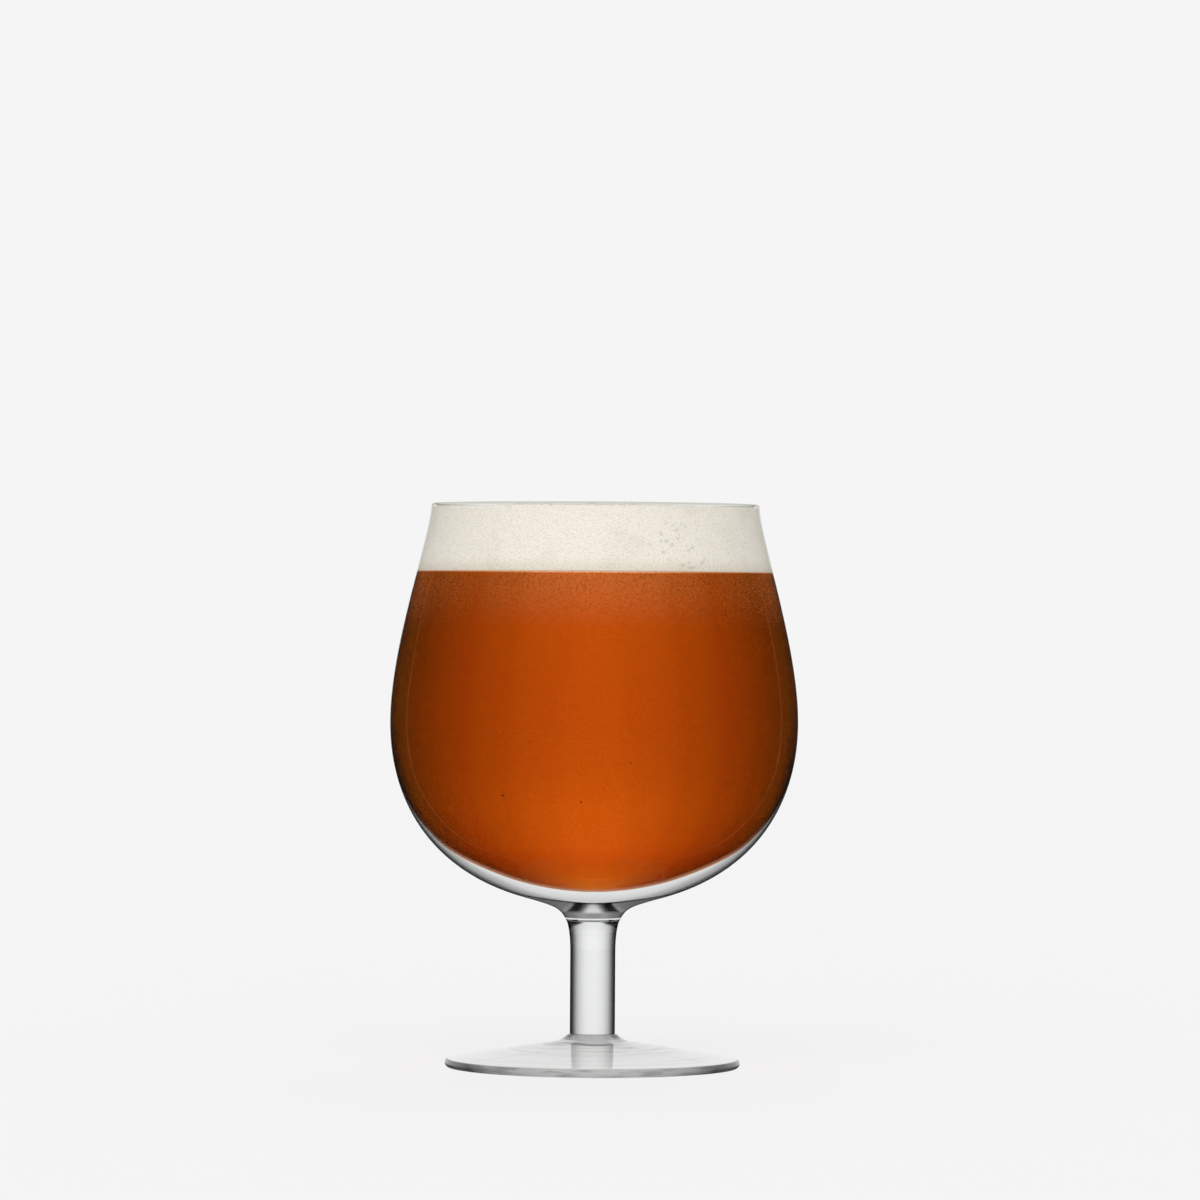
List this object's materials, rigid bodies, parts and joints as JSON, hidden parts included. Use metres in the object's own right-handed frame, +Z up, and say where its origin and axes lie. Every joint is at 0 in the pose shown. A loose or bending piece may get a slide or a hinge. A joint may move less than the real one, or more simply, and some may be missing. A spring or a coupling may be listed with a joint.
{
  "type": "tulip beer glass",
  "caption": "Stemmed tulip beer glass: a round-bellied bowl that narrows to the rim, a short plain stem and a spread foot, poured with amber beer under a head of foam.",
  "frame": {"origin": "centre of the foot's resting ring, on the table", "axes": "+Z up along the axis of the glass; X and Y are free, because the glass is round"},
  "size_m": [0.105, 0.105, 0.145],
  "materials": {
    "clear_glass": "clear, fire-polished",
    "amber_beer": "hazy amber liquid",
    "beer_foam": "fine wet bubbles"
  },
  "bodies": {
    "root": {"bowl": "clear_glass", "stem": "clear_glass", "foot": "clear_glass", "beer": "amber_beer", "foam_head": "beer_foam"}
  },
  "joints": []
}
